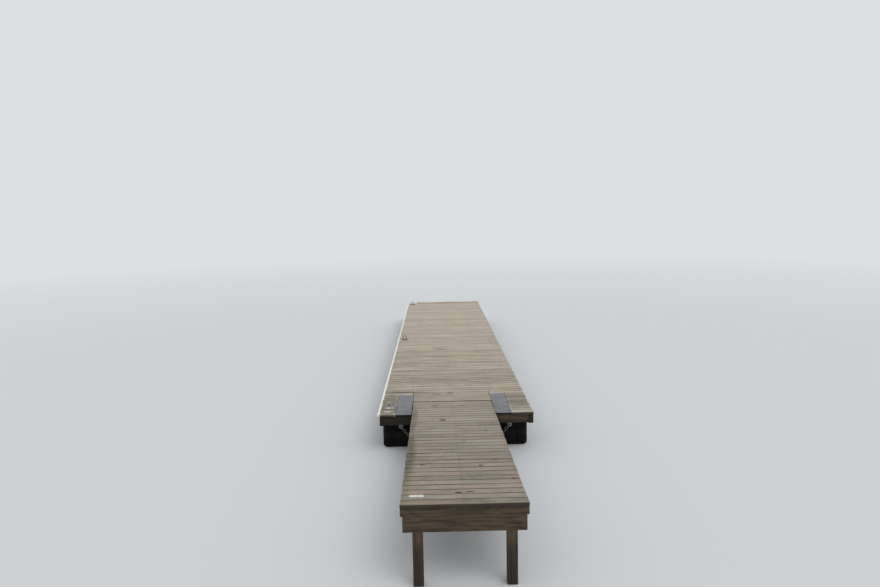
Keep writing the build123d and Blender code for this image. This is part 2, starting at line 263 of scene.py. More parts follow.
def makeSurfaceWear():
    # Fine mottling for metal and plastic, with scratches that run one way
    group, given = newGroup("surfaceWear", {"Vector": None, "Scale": 1.0})
    place = vectorMath(group, "MULTIPLY", given["Vector"], given["Scale"])
    mottle = noise(group, place, 9.0, 5.0, 0.6)
    scratches = remap(group, noise(group, place, (260.0, 14.0, 40.0), 2.0), 0.62, 0.72)
    return giveOut(group, {
        "Mottle": mottle, "Scratches": scratches,
        "Speckle": remap(group, noise(group, place, 150.0, 2.0), 0.6, 0.7),
        "Height": weighed(group, times(group, scratches, -0.2), (mottle, 0.6)),
    })


woodGrain = makeWoodGrain()
stains = makeStains()
softSpot = makeSoftSpot()
surfaceWear = makeSurfaceWear()
print("shared shader groups made")


# Helpers for meshes

rounding = {
    "weld": 0.00002,          # metres
    "flat": 1.0,              # degrees, as are the next two
    "hardEdge": 28.0,
    "shapeSharp": 35.0,
}


def addObject(name, data):
    made = bpy.data.objects.new(name, data)
    bpy.context.scene.collection.objects.link(made)
    return made


def addMesh(name, mesh, material, sharpAngle):
    mesh.polygons.foreach_set("use_smooth", [True] * len(mesh.polygons))
    mesh.set_sharp_from_angle(angle=math.radians(sharpAngle))
    mesh.materials.append(material)
    return addObject(name, mesh)


def settle(piece, body, slotName, *nodes):
    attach(piece, body)
    if nodes:
        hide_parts(*nodes)


class Shape:
    # Collects points and faces of many small forms, which become one mesh
    def __init__(self):
        self.points = []
        self.faces = []
        self.values = {}

    def add(self, points, faces, **values):
        first = len(self.points)
        self.points.extend(tuple(p) for p in points)
        self.faces.extend(tuple(first + i for i in face) for face in faces)
        for name, given in values.items():
            self.values.setdefault(name, []).extend(given)

    def build(self, name, material, slotName=None, *nodes, body="platform"):
        mesh = bpy.data.meshes.new(name)
        mesh.from_pydata(self.points, [], self.faces)
        mesh.update()
        for key, given in self.values.items():
            isVector = hasattr(given[0], "__len__")
            layer = mesh.attributes.new(key, "FLOAT_VECTOR" if isVector else "FLOAT", "POINT")
            flat = np.array(given, dtype=np.float32).ravel()
            layer.data.foreach_set("vector" if isVector else "value", flat)
        piece = addMesh(name, mesh, material, rounding["shapeSharp"])
        if slotName:
            settle(piece, body, slotName, *nodes)
        return piece


def sweepLoops(shape, loops, closed=False, flipped=False, **values):
    # Joins loops of equally many points into a skin; flipped where they run the other way round
    count = len(loops[0])
    faces = []
    for i in range(len(loops) if closed else len(loops) - 1):
        low, high = i * count, ((i + 1) % len(loops)) * count
        for j in range(count):
            k = (j + 1) % count
            corners = (low + j, low + k, high + k, high + j)
            faces.append((corners[0], corners[3], corners[2], corners[1]) if flipped else corners)
    if not closed:
        first, last = tuple(range(count)), tuple(range((len(loops) - 1) * count, len(loops) * count))
        faces += [first, last[::-1]] if flipped else [first[::-1], last]
    shape.add([p for loop in loops for p in loop], faces, **values)


def ringPoints(centre, first, second, radius, sides):
    angles = (2 * math.pi * i / sides for i in range(sides))
    return [centre + (first * math.cos(a) + second * math.sin(a)) * radius for a in angles]


def turned(shape, centre, axis, profile, sides):
    # A turned form: profile is a list of (radius, height) along the axis
    axis = Vector(axis).normalized()
    side = axis.orthogonal().normalized()
    other = axis.cross(side)
    sweepLoops(shape, [
        ringPoints(Vector(centre) + axis * rise, side, other, radius, sides) for radius, rise in profile
    ])


bolt = {
    "washer": 0.0024, "washerSide": 0.0018, "washerEase": 0.0006, "washerSides": 20,
    "head": 0.0078, "headSide": 0.0062, "headTop": 0.86,
}


def hexBolt(shape, centre, axis, size, washer):
    # A washer under a hexagon head with its corners eased; size is across the flats
    turned(shape, centre, axis, [
        (washer, 0.0), (washer, bolt["washerSide"]), (washer - bolt["washerEase"], bolt["washer"]),
    ], bolt["washerSides"])
    base = Vector(centre) + Vector(axis).normalized() * bolt["washer"]
    corner = size * 0.577
    turned(shape, base, axis, [
        (corner, 0.0), (corner, bolt["headSide"]), (corner * bolt["headTop"], bolt["head"]),
    ], 6)


def roundBar(shape, path, radius, sides, closed=False):
    # A round bar along points, turned with the least twist
    count = len(path)
    normal = None
    loops = []
    for i, point in enumerate(path):
        before = path[i - 1] if i > 0 or closed else point
        after = path[(i + 1) % count] if i < count - 1 or closed else point
        heading = (after - before).normalized()
        normal = heading.orthogonal() if normal is None else normal - heading * normal.dot(heading)
        normal = normal.normalized()
        loops.append(ringPoints(point, normal, heading.cross(normal), radius, sides))
    sweepLoops(shape, loops, closed)


def arcPoints(centre, first, second, radius, startAngle, endAngle, steps):
    # Points of an arc in the plane of two directions
    angles = (math.radians(startAngle + (endAngle - startAngle) * i / steps) for i in range(steps + 1))
    return [centre + first * radius * math.cos(a) + second * radius * math.sin(a) for a in angles]


def roundedLoop(middle, first, second, halfFirst, halfSecond, corner, inset=0.0, steps=5):
    # Points round a rectangle with rounded corners, in the plane of two directions
    loop = []
    for signFirst, signSecond, startAngle in ((1, 1, 0), (-1, 1, 90), (-1, -1, 180), (1, -1, 270)):
        centre = middle + first * signFirst * (halfFirst - corner)
        centre = centre + second * signSecond * (halfSecond - corner)
        loop += arcPoints(centre, first, second, corner - inset, startAngle, startAngle + 90, steps)
    return loop


def dress(
    name, node, material, radius, body="platform", slotName="frame_timber", segments=2, sharpAngle=32.0
):
    # A node's own solid with its hard edges rounded off, which stands for the node
    work = bmesh.new()
    work.from_mesh(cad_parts[node].data)
    bmesh.ops.remove_doubles(work, verts=work.verts, dist=rounding["weld"])
    bmesh.ops.dissolve_limit(
        work, angle_limit=math.radians(rounding["flat"]), verts=work.verts, edges=work.edges
    )
    limit = math.radians(rounding["hardEdge"])
    bmesh.ops.bevel(
        work, geom=[e for e in work.edges if e.is_manifold and e.calc_face_angle(0) > limit],
        offset=radius, offset_type="OFFSET", segments=segments, profile=0.5, affect="EDGES",
        clamp_overlap=True,
    )
    mesh = bpy.data.meshes.new(name)
    work.to_mesh(mesh)
    work.free()
    settle(addMesh(name, mesh, material, sharpAngle), body, slotName, node)


# Deck boards

board = {
    "width": 0.120,
    "gap": 0.008,
    "thickness": 0.028,
    "edgeRadius": 0.0032,
    "radiusSpread": (0.8, 1.25),
    "steps": 14,
    "topColumns": 6,
    "widthLoss": 0.0034,      # how much narrower a dried board may be
    "endLoss": 0.0045,        # how far short of the saw line an end may stop
    "drop": 0.0016,           # how far below the deck's level a board may lie
    "bow": 0.0012,
    "cup": 0.0009,
    "twist": 0.006,
    "askew": 0.0013,          # how far either end may lie off its line
    "skewReach": 2.6,         # a skewed end comes back to its line in the length over this
    "endCalm": 0.2,           # the first and the last board stray this much as far as the others
    "toneSpread": 0.6,
    "toneLimit": 1.6,
    "patternShift": (53.0, 7.7, 3.1),
}


def boardSection(width, thickness, radius):
    half = width / 2
    soft = radius * (1 - math.sqrt(0.5))
    top = [
        (-half + radius + (width - 2 * radius) * i / (board["topColumns"] - 1), 0.0)
        for i in range(board["topColumns"])
    ]
    return top + [
        (half - soft, -soft), (half, -radius), (half, radius - thickness),
        (half - soft, soft - thickness), (half - radius, -thickness),
        (radius - half, -thickness), (soft - half, soft - thickness),
        (-half, radius - thickness), (-half, -radius), (soft - half, -soft),
    ]


def layBoard(shape, start, acrossAxis, upAxis, length, mood=None, calm=1.0, width=None, steps=None):
    # start is the middle of the board's low x end, at the deck's level; returns its height there.
    # mood may set how light the board is, how far its low x end lies off its line, and how short it is
    def drawn(key, low=0.0):
        return rng.uniform(low, 1.0) * board[key] * calm

    mood = mood or {}
    steps = steps or board["steps"]
    thickness, limit = board["thickness"], board["toneLimit"]
    radius = board["edgeRadius"] * rng.uniform(*board["radiusSpread"])
    width = (width or board["width"]) - drawn("widthLoss")
    lowLoss, highLoss, drop = drawn("endLoss"), drawn("endLoss"), drawn("drop")
    bow, cup, twist = drawn("bow", -1.0), drawn("cup", 0.1), drawn("twist", -1.0)
    phase = rng.uniform(0, 6.28)
    seed = rng.uniform(0, 1)
    shift = [seed * reach for reach in board["patternShift"]]
    tone = max(-limit, min(limit, rng.gauss(0, board["toneSpread"])))
    warmth = rng.uniform(0, 1)
    lowSkew, highSkew = drawn("askew", -1.0), drawn("askew", -1.0)
    tone, lowSkew = mood.get("tone", tone), mood.get("skew", lowSkew)
    section = boardSection(width, thickness, radius)
    run = length - lowLoss - (highLoss + mood.get("short", 0.0))
    stations = [0.0, radius] + [run * i / steps for i in range(1, steps)] + [run - radius, run]
    start, acrossAxis, upAxis = Vector(start), Vector(acrossAxis), Vector(upAxis)

    def heightAt(u, v):
        # Sunk by its drop in one slow wave, hollow across its width, and twisted about its middle
        share = u / length
        wave = 0.5 + 0.5 * math.sin(phase + 5.0 * share)
        turn = twist * (share - 0.5) * v
        hollow = cup * (1 - (2 * v / width) ** 2)
        return -drop * wave - abs(twist) * 0.25 * width - hollow * 0.7 + turn

    loops, spaces, acrosses, ends = [], [], [], []
    for index, u in enumerate(stations):
        inset = radius * 0.8 if index in (0, len(stations) - 1) else 0.0
        far = board["skewReach"] * u / run
        aside = bow * math.sin(math.pi * u / run + phase * 0.2)
        aside += lowSkew * max(0.0, 1 - far) + highSkew * max(0.0, far - (board["skewReach"] - 1))
        loop = []
        for v, z in section:
            rise = -thickness / 2 + (z + thickness / 2) * (1 - 2 * inset / thickness)
            loop.append(
                start + xAxis * (u + lowLoss) + acrossAxis * (v * (1 - 2 * inset / width) + aside)
                + upAxis * (rise + heightAt(u + lowLoss, v))
            )
            spaces.append((u + shift[0], v + shift[1], z + shift[2]))
            acrosses.append(2 * v / width)
            ends.append(min(u, run - u))
        loops.append(loop)
    sweepLoops(
        shape, loops, flipped=True, boardSpace=spaces, boardMood=[(tone, warmth, 0.0)] * len(spaces),
        boardAcross=acrosses, boardEnd=ends,
    )
    return heightAt


screw = {
    "profile": [(0.0013, -0.0012), (0.0016, 0.0001), (0.00378, 0.0002), (0.0042, -0.0006)],
    "sides": 10,
    "inBoard": 0.031,         # from the board's middle line to a screw
    "fromEnd": 0.012,         # no screw is closer to a board's end
    "stray": (0.004, 0.003),  # along the board and across it
    "lift": 0.0001,
}


def driveScrew(shape, place, upAxis):
    turned(shape, place, upAxis, screw["profile"], screw["sides"])


def layScrewedBoard(boards, screws, lines, start, acrossAxis, upAxis, high, **ways):
    # A board from start to high in x, with two screws at each line that it crosses
    low = start[0]
    heightAt = layBoard(boards, start, acrossAxis, upAxis, high - low, **ways)
    strayAlong, strayAcross = screw["stray"]
    for x in lines:
        if low + screw["fromEnd"] < x < high - screw["fromEnd"]:
            for side in (-1, 1):
                v = side * screw["inBoard"] + rng.uniform(-strayAcross, strayAcross)
                u = x - low + rng.uniform(-strayAlong, strayAlong)
                level = heightAt(u, v) + screw["lift"]
                driveScrew(screws, Vector(start) + xAxis * u + acrossAxis * v + upAxis * level, upAxis)


def middlesOf(*boxes):
    return [(low.x + high.x) / 2 for low, high in boxes]


def spotsOn(onDeck, *rows):
    # Each row: two distances for the place, two for how far it reaches, its tone and its strength
    return [
        (onDeck(x, y), (reachX, reachY, 1.0), tone, strength)
        for x, y, reachX, reachY, tone, strength in rows
    ]


def boardMaterial(name, look):
    material, tree, shader = newMaterial(name)
    place = objectPlace(tree)
    ownPlace = readAttribute(tree, "boardSpace", "Vector")
    grain = useGroup(tree, woodGrain, {"Vector": ownPlace, "Knot share": look["knots"]})
    marks = useGroup(tree, stains, {"Vector": place, "Spread": look["spread"]})
    wear = useGroup(tree, surfaceWear, {"Vector": place, "Scale": 1.0})
    mood = splitVector(tree, readAttribute(tree, "boardMood", "Vector"))
    across = mathNode(tree, "ABSOLUTE", readAttribute(tree, "boardAcross"))
    # Streaks between a light and a dark grey-brown, a shade apart from board to board
    drift = noise(tree, ownPlace, (1.7, 5.0, 5.0))
    mottle = noise(tree, ownPlace, (24.0, 70.0, 70.0), 4.0, 0.7)
    shade = weighed(
        tree, 0.5 - (look["streaks"] + look["uneven"] + look["mottle"]) / 2,
        (grain["Streaks"], look["streaks"]), (grain["Rings"], -0.12), (mood["X"], look["toneStep"]),
        (drift, look["uneven"]), (mottle, look["mottle"]),
    )
    warm = remap(tree, noise(tree, place, (2.2, 5.0, 1.0)), 0.42, 0.62)
    specks = times(tree, remap(tree, marks["Dirt"], 0.0, 0.6, 0.4, 1.0), wear["Speckle"])
    colour = layTones(
        tree, look, betweenTones(tree, look, remap(tree, shade, 0.0, 1.0)),
        (remap(tree, grain["Fibres"], 0.40, 0.62), "fibre", "fibreTone"),
        (times(tree, warm, remap(tree, mood["Y"], 0.0, 1.0, 0.35, 1.0)), "warmth", "warm"),
        (marks["Bleach"], "bleach", "pale"),
        (marks["Dirt"], "dirt", "dirtTone"),
        (specks, "specks", "knotTone"),
    )
    # Spots drawn out along the grain: stains at the places that stay damp, and a few of painted sheen and
    # painted shade
    drawnOut = remap(tree, grain["Streaks"], 0.36, 0.60, 0.45, 1.0)
    for centre, reach, tone, strength in look["spots"]:
        spot = useGroup(tree, softSpot, {"Vector": place, "Centre": centre, "Reach": reach})["Spot"]
        colour = layTones(tree, look, colour, (times(tree, spot, drawnOut), strength, tone))
    # Dark halos that the screws have left in the wood
    sideways, nearest = splitVector(tree, place)["X"], 1.0
    for line in look["screwLines"]:
        nearest = mathNode(tree, "MINIMUM", apart(tree, sideways, line), nearest)
    offScrew = apart(tree, across, 2 * screw["inBoard"] / board["width"])
    halo = times(tree, remap(tree, nearest, 0.024, 0.006), remap(tree, offScrew, 0.22, 0.05))
    # Sawn ends are paler on some boards
    tip = weighed(tree, readAttribute(tree, "boardEnd"), (mottle, 0.06))
    tip = times(tree, remap(tree, tip, 0.060, 0.035), remap(tree, mood["Y"], 0.3, 0.8))
    growth = times(tree, marks["Growth"], remap(tree, grain["Streaks"], 0.35, 0.6))
    # Dirt gathers in the worn edges; the board sides down in the gaps get dirt and painted shade
    colour = layTones(
        tree, look, colour,
        (growth, "growth", "green"),
        (times(tree, halo, remap(tree, mottle, 0.35, 0.60)), "screwHalo", "knotTone"),
        (remap(tree, across, 0.90, 0.99), "edgeDirt", "dirtTone"),
        # Painted shade with some dirt: the board sides, down in the gaps, go dark
        (remap(tree, across, 0.975, 0.995), "sideDirtAndShade", "gapTone"),
        (tip, "paleEnds", "pale"),
        (grain["Knots"], 0.8, "knotTone"),
        (grain["Cracks"], "cracks", "gapTone"),
    )
    roughness = weighed(tree, look["roughness"], (grain["Streaks"], -0.14))
    height = weighed(tree, grain["Height"], (grain["Knots"], 0.25))
    values = {"Base Color": colour, "Roughness": roughness, "Specular IOR Level": 0.28}
    connect(tree, shader, values, height, look["relief"])
    return material


leftJoist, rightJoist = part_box("left_notch_joist"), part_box("right_notch_joist")
leftBeam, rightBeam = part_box("left_side_beam"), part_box("right_side_beam")
deckLow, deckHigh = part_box("platform_deck")
plateLow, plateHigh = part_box("left_cover_plate")
rightPlateLow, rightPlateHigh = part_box("right_cover_plate")
panelLow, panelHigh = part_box("threshold_panel")
deckTop = deckHigh.z
pitch = board["width"] + board["gap"]


def onPlatform(x, fromNear):
    return x, deckLow.y + fromNear, deckTop


platformLook = {
    "light": (192, 181, 165), "dark": (127, 117, 104), "streaks": 1.4, "toneStep": 0.21,
    "uneven": 1.0, "mottle": 0.9, "knots": 0.12, "knotTone": (100, 84, 68), "fibre": 0.20,
    "fibreTone": (202, 191, 174), "warm": (184, 165, 145), "warmth": 0.40, "pale": (210, 198, 181),
    "bleach": 0.35, "paleEnds": 0.35, "dirtTone": (110, 101, 89), "dirt": 0.30, "edgeDirt": 0.45,
    "sideDirtAndShade": 0.85, "gapTone": (56, 48, 40), "cracks": 0.6, "specks": 0.35, "screwHalo": 0.3,
    "green": (140, 138, 116), "growth": 0.30, "spread": 0.5, "grey": (112, 104, 92),
    "roughness": 0.84, "relief": 0.0011,
    "screwLines": middlesOf(leftBeam, leftJoist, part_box("centre_joist"), rightJoist, rightBeam),
    "spots": spotsOn(
        onPlatform,
        # Painted sheen: the far part of the deck is lighter, as boards look when seen at a low angle
        (0.0, deckHigh.y - deckLow.y, 5.0, 9.0, "pale", 0.40),
        (-0.98, 0.50, 0.42, 0.75, "grey", 0.90),
        (0.90, 0.62, 0.50, 0.60, "grey", 0.60),
        (-0.95, 0.62, 0.28, 0.34, "green", 0.20),
        (-0.73, 0.72, 0.05, 0.40, "dirtTone", 0.70),
        (-0.82, 1.18, 0.50, 0.07, "knotTone", 0.95),
        (-0.18, 4.54, 0.16, 0.06, "dirtTone", 0.90),
        # Painted shade: a dark patch round the foot of the near ring
        (-0.98, 0.47, 0.06, 0.15, "knotTone", 0.85),
        (-1.00, 0.17, 0.09, 0.05, "pale", 0.75),
    ),
}
# Boards that show lighter or darker in the horns beside the gangway, from the near end on
hornBoards = {
    "left": (0.2, 0.3, -0.6, -0.2, -0.9, -0.2, -1.1, -0.4, 1.7),
    "right": (1.1, 0.1, 0.9, -1.6, -1.8, 0.7, -1.8, -0.2, 1.3),
}
# The right edge is uneven: some boards stop short of it
rightEdge = {"share": 0.35, "most": 0.009}
plateGap = 0.003


def makePlatformDeck():
    boards, screws = Shape(), Shape()
    rows = round((deckHigh.y - deckLow.y + board["gap"]) / pitch)
    for row in range(rows):
        middle = deckLow.y + row * pitch + board["width"] / 2
        spans = [(deckLow.x, deckHigh.x)]
        if middle < plateHigh.y:
            spans = [(deckLow.x, plateLow.x - plateGap), (rightPlateHigh.x + plateGap, deckHigh.x)]
        elif middle < panelHigh.y:
            spans = [(deckLow.x, leftJoist[1].x), (rightJoist[0].x, deckHigh.x)]
        for low, high in spans:
            tones = hornBoards["left" if low < 0 else "right"]
            mood = {"tone": tones[row]} if len(spans) > 1 and row < len(tones) else {}
            if high == deckHigh.x and rng.random() < rightEdge["share"]:
                mood["short"] = rng.uniform(0.0, rightEdge["most"])
            layScrewedBoard(
                boards, screws, platformLook["screwLines"], (low, middle, deckTop), yAxis, zAxis, high,
                mood=mood, calm=board["endCalm"] if row in (0, rows - 1) else 1.0,
            )
    wood = boardMaterial("platformBoardWood", platformLook)
    boards.build("platformBoards", wood, "weathered_boards", "platform_deck")
    screws.build("platformScrews", screwSteel, "galvanised_steel")


# Metals

mottleRange = (0.36, 0.64)


def metalMaterial(name, look):
    material, tree, shader = newMaterial(name)
    place = objectPlace(tree)
    wear = useGroup(tree, surfaceWear, {"Vector": place, "Scale": look["scale"]})
    finer = vectorMath(tree, "MULTIPLY", place, (3.0, 3.0, 3.0))
    marks = useGroup(tree, stains, {"Vector": finer, "Spread": 0.6})
    grime = times(tree, marks["Dirt"], look["grime"])
    colour = layTones(
        tree, look, betweenTones(tree, look, remap(tree, wear["Mottle"], *mottleRange)),
        (wear["Scratches"], "scratches", "scratchTone"),
        (grime, 1.0, "grimeTone"),
        (times(tree, wear["Speckle"], marks["Growth"]), "rust", "rustTone"),
    )
    connect(tree, shader, {
        "Base Color": colour,
        "Roughness": remap(tree, wear["Mottle"], 0.3, 0.7, look["smooth"], look["rough"]),
        "Metallic": remap(tree, grime, 0.0, 1.0, look["metallic"], look["metallic"] * 0.3),
    }, wear["Height"], look["relief"])
    return material


steelLook = {
    "scale": 3.0, "dark": (118, 121, 123), "light": (158, 161, 162), "scratches": 0.4,
    "scratchTone": (180, 182, 184), "grime": 0.5, "grimeTone": (86, 82, 74), "rust": 0.6,
    "rustTone": (120, 76, 46), "smooth": 0.42, "rough": 0.68, "metallic": 0.55, "relief": 0.0004,
}
ringLook = dict(
    steelLook, dark=(154, 156, 154), light=(200, 201, 198), scratchTone=(222, 223, 221), grime=0.4,
    metallic=0.25, rust=0.4,
)
galvanised = metalMaterial("galvanisedSteel", steelLook)
chainSteel = metalMaterial("chainSteel", dict(
    steelLook, dark=(80, 79, 76), light=(116, 115, 112), scratchTone=(140, 139, 136), grime=0.7,
))
plateSteel = metalMaterial("coverPlateSteel", dict(
    steelLook, scale=1.0, dark=(108, 109, 111), light=(134, 135, 138), scratches=0.25,
    grime=0.35, grimeTone=(96, 94, 88), rust=0.2, metallic=0.35, smooth=0.5, rough=0.75,
))
ringSteel = metalMaterial("ringSteel", ringLook)
labelMetal = metalMaterial("labelMetal", dict(
    steelLook, scale=2.0, dark=(196, 196, 190), light=(222, 222, 217), scratchTone=(232, 232, 228),
    grime=0.5, grimeTone=(150, 146, 134), rust=0.1, metallic=0.2, smooth=0.35, rough=0.6,
))
wornRingSteel = metalMaterial("wornRingSteel", dict(ringLook, dark=(86, 80, 72), light=(118, 112, 103)))
screwSteel = metalMaterial("screwSteel", dict(
    steelLook, scale=8.0, dark=(82, 78, 72), light=(124, 120, 112), grime=0.7, rust=0.9,
))
print("metals made")

makePlatformDeck()
print("platform boards laid")


# Gangway boards on their slope

gangwayLow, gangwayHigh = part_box("gangway_deck")
gangwayRows = 32
gangwayInNotch = 0.610
gangwayLength = gangwayRows * pitch - board["gap"]
slope = math.asin((gangwayHigh.z - deckTop) / gangwayLength)
downSlope = Vector((0, math.cos(slope), -math.sin(slope)))
offSlope = Vector((0, math.sin(slope), math.cos(slope)))
shoreEdge = Vector((0, plateLow.y + gangwayInNotch - gangwayLength * math.cos(slope), gangwayHigh.z))


def onGangway(fromLeft, along, above=0.0):
    # A place on the gangway's boards: metres from its left edge and from its shore end
    spot = shoreEdge + downSlope * along + offSlope * above
    spot.x = gangwayLow.x + fromLeft
    return spot


gangwayLook = dict(
    platformLook, light=(170, 160, 145), dark=(104, 96, 84), streaks=1.2, toneStep=0.16, mottle=1.3,
    knots=0.22, knotTone=(60, 48, 38), fibre=0.24, fibreTone=(172, 162, 147), warm=(160, 138, 119),
    warmth=0.60, pale=(178, 171, 158), bleach=0.30, paleEnds=0.15, dirtTone=(84, 75, 63), dirt=0.40,
    edgeDirt=0.50, sideDirtAndShade=0.90, gapTone=(56, 48, 39), cracks=0.8, specks=0.45, screwHalo=0.35,
    green=(108, 106, 80), damp=(80, 72, 60), relief=0.0014,
    screwLines=middlesOf(*(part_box(f"{side}_gangway_stringer") for side in ("left", "centre", "right"))),
    spots=spotsOn(
        onGangway,
        (0.60, 3.40, 0.80, 1.10, "pale", 0.30),
        (0.02, 1.50, 0.10, 1.10, "damp", 0.90),
        (0.14, 1.36, 0.18, 0.08, "dirtTone", 0.35),
        (0.02, 0.55, 0.09, 0.45, "green", 0.50),
        (0.98, 0.72, 0.10, 0.10, "green", 0.35),
        (0.90, 0.64, 0.40, 0.05, "green", 0.25),
        (0.03, 3.10, 0.07, 0.80, "damp", 0.60),
        (0.16, 1.53, 0.24, 0.02, "gapTone", 0.80),
        (0.30, 0.05, 0.30, 0.06, "warm", 0.55),
        (0.55, 0.29, 0.045, 0.028, "knotTone", 1.0),
        (0.66, 0.30, 0.060, 0.024, "knotTone", 0.8),
        (1.13, 0.65, 0.030, 0.028, "knotTone", 1.0),
        (0.99, 2.43, 0.032, 0.030, "knotTone", 1.0),
        (1.00, 1.26, 0.034, 0.030, "knotTone", 1.0),
        (0.82, 1.06, 0.028, 0.026, "knotTone", 0.9),
        (0.19, 1.12, 0.034, 0.026, "knotTone", 0.9),
        (0.26, 1.16, 0.030, 0.026, "knotTone", 0.9),
        (0.44, 3.01, 0.056, 0.066, "gapTone", 1.0),
        (0.33, 3.84, 0.060, 0.090, "damp", 0.50),
        (0.74, 3.84, 0.080, 0.080, "damp", 0.35),
    ),
)
# The left ends of these boards have warped away from the shore and left one wide gap
warpedBoards = {12: 0.010, 13: 0.006, 14: 0.003}


def makeGangwayDeck():
    boards, screws = Shape(), Shape()
    for row in range(gangwayRows):
        layScrewedBoard(
            boards, screws, gangwayLook["screwLines"], onGangway(0.0, row * pitch + board["width"] / 2),
            downSlope, offSlope, gangwayHigh.x, steps=12,
            calm=board["endCalm"] if row in (0, gangwayRows - 1) else 1.0,
            mood={"skew": warpedBoards[row]} if row in warpedBoards else {},
        )
    wood = boardMaterial("gangwayBoardWood", gangwayLook)
    boards.build("gangwayBoards", wood, "weathered_boards", "gangway_deck", body="gangway")
    screws.build("gangwayScrews", screwSteel, "galvanised_steel", body="gangway")


makeGangwayDeck()
print("gangway boards laid")


# The small plate on the second board, which bears nothing

label = {
    "fromLeft": 0.150, "along": 0.216, "length": 0.137, "width": 0.058, "thickness": 0.0016,
    "corner": 0.005, "ease": 0.0004, "sunk": 0.0006, "screwInset": 0.008, "screwSunk": 0.0005,
}


def makeLabel():
    shape, screws = Shape(), Shape()
    top, ease = label["thickness"], label["ease"]
    halves = label["length"] / 2, label["width"] / 2
    loops = []
    for inset, level in ((0, 0), (0, top - ease), (ease, top)):
        middle = onGangway(label["fromLeft"], label["along"], level - label["sunk"])
        loops.append(roundedLoop(middle, xAxis, downSlope, *halves, label["corner"], inset)[::-1])
    sweepLoops(shape, loops)
    shape.build("blankPlate", labelMetal, "galvanised_steel", body="gangway")
    for end in (-1, 1):
        fromLeft = label["fromLeft"] + end * (halves[0] - label["screwInset"])
        driveScrew(screws, onGangway(fromLeft, label["along"], top - label["screwSunk"]), offSlope)
    screws.build("blankPlateScrews", screwSteel, "galvanised_steel", body="gangway")


makeLabel()
print("blank plate fixed")


# Threshold panel: one smooth board

panel = {"calm": 0.3, "steps": 10}
panelLook = dict(
    platformLook, light=(166, 155, 141), dark=(130, 120, 107), toneStep=0.0, mottle=1.0, knots=0.04,
    fibre=0.15, fibreTone=(172, 163, 151), warmth=0.3, paleEnds=0.0, dirt=0.25, edgeDirt=0.2,
    growth=0.2, relief=0.0005, screwLines=[],
    spots=spotsOn(
        onPlatform,
        (-0.05, 1.10, 0.07, 0.08, "knotTone", 0.80),
        (-0.27, 1.02, 0.09, 0.06, "knotTone", 0.40),
    ),
)


def makeThresholdPanel():
    shape = Shape()
    start = (panelLow.x, (panelLow.y + panelHigh.y) / 2, deckTop)
    layBoard(
        shape, start, yAxis, zAxis, panelHigh.x - panelLow.x, width=panelHigh.y - panelLow.y, **panel
    )
    wood = boardMaterial("thresholdPanelWood", panelLook)
    shape.build("thresholdPanel", wood, "weathered_boards", "threshold_panel")


makeThresholdPanel()
print("threshold panel laid")


# Frame timber, floats and steelwork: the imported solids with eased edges

def timberMaterial(name, along, look):
    # along is the axis that the grain follows
    material, tree, shader = newMaterial(name)
    coordinates = addNode(tree, "ShaderNodeTexCoord").outputs
    place = coordinates["Object"]
    parts = splitVector(tree, place)
    order = {"X": "XYZ", "Y": "YXZ", "Z": "ZXY"}[along]
    turnedPlace = addNode(
        tree, "ShaderNodeCombineXYZ", {to: parts[axis] for to, axis in zip("XYZ", order)}
    ).outputs[0]
    grain = useGroup(tree, woodGrain, {"Vector": turnedPlace, "Knot share": look["knots"]})
    marks = useGroup(tree, stains, {"Vector": place, "Spread": 0.5})
    mottle = noise(tree, turnedPlace, (16.0, 60.0, 60.0), 4.0, 0.7)
    shade = weighed(
        tree, -0.85, (grain["Streaks"], 1.9), (grain["Rings"], -0.35), (grain["Fibres"], 0.9),
        (mottle, 0.6),
    )
    # Sawn ends are painted dark: partly the damp that they take up, partly painted shade
    facing = mathNode(tree, "ABSOLUTE", splitVector(tree, coordinates["Normal"])[along])
    colour = layTones(
        tree, look, betweenTones(tree, look, remap(tree, shade, 0.0, 1.0)),
        (marks["Bleach"], "silver", "silverTone"),
        (marks["Growth"], "growth", "green"),
        (remap(tree, parts["Z"], look["wetTop"], look["wetTop"] - look["wetFade"]), "wet", "dampAndShadeTone"),
        (grain["Knots"], 0.7, "crackTone"),
        (grain["Cracks"], 0.8, "crackTone"),
        (remap(tree, facing, 0.75, 0.95), "darkEnds", "dampAndShadeTone"),
    )
    roughness = weighed(tree, 0.92, (grain["Streaks"], -0.15))
    values = {"Base Color": colour, "Roughness": roughness, "Specular IOR Level": 0.3}
    connect(tree, shader, values, grain["Height"], look["relief"])
    return material


# The frame timber's tones carry painted shade: darker than the wood itself, for the near faces and the
# shade under the deck
frameLook = {
    "knots": 0.14, "light": (90, 76, 61), "dark": (46, 37, 28), "silver": 0.25,
    "silverTone": (104, 93, 80), "growth": 0.35, "green": (66, 68, 44), "wetTop": 0.47,
    "wetFade": 0.12, "wet": 0.55, "dampAndShadeTone": (32, 28, 22), "darkEnds": 0.8,
    "crackTone": (26, 21, 16), "relief": 0.0012,
}
timberAlong = timberMaterial("frameTimberLengthwise", "Y", frameLook)
timberAcross = timberMaterial("frameTimberCrosswise", "X", frameLook)
timberUpright = timberMaterial("postTimber", "Z", frameLook)
# A darker copy for the left fascia: painted shade, as the light falls from the right, and more green
# growth
timberDampAndShaded = timberMaterial("dampAndShadedTimber", "X", dict(
    frameLook, light=(50, 44, 32), dark=(26, 23, 16), silver=0.1, silverTone=(66, 60, 48),
    growth=0.6, green=(46, 48, 28),
))
kerbWood = timberMaterial("kerbTimber", "X", dict(
    frameLook, light=(228, 220, 204), dark=(192, 183, 166), silverTone=(230, 224, 212), growth=0.1,
    green=(150, 148, 122), wet=0.0, darkEnds=0.3, crackTone=(128, 110, 90),
))


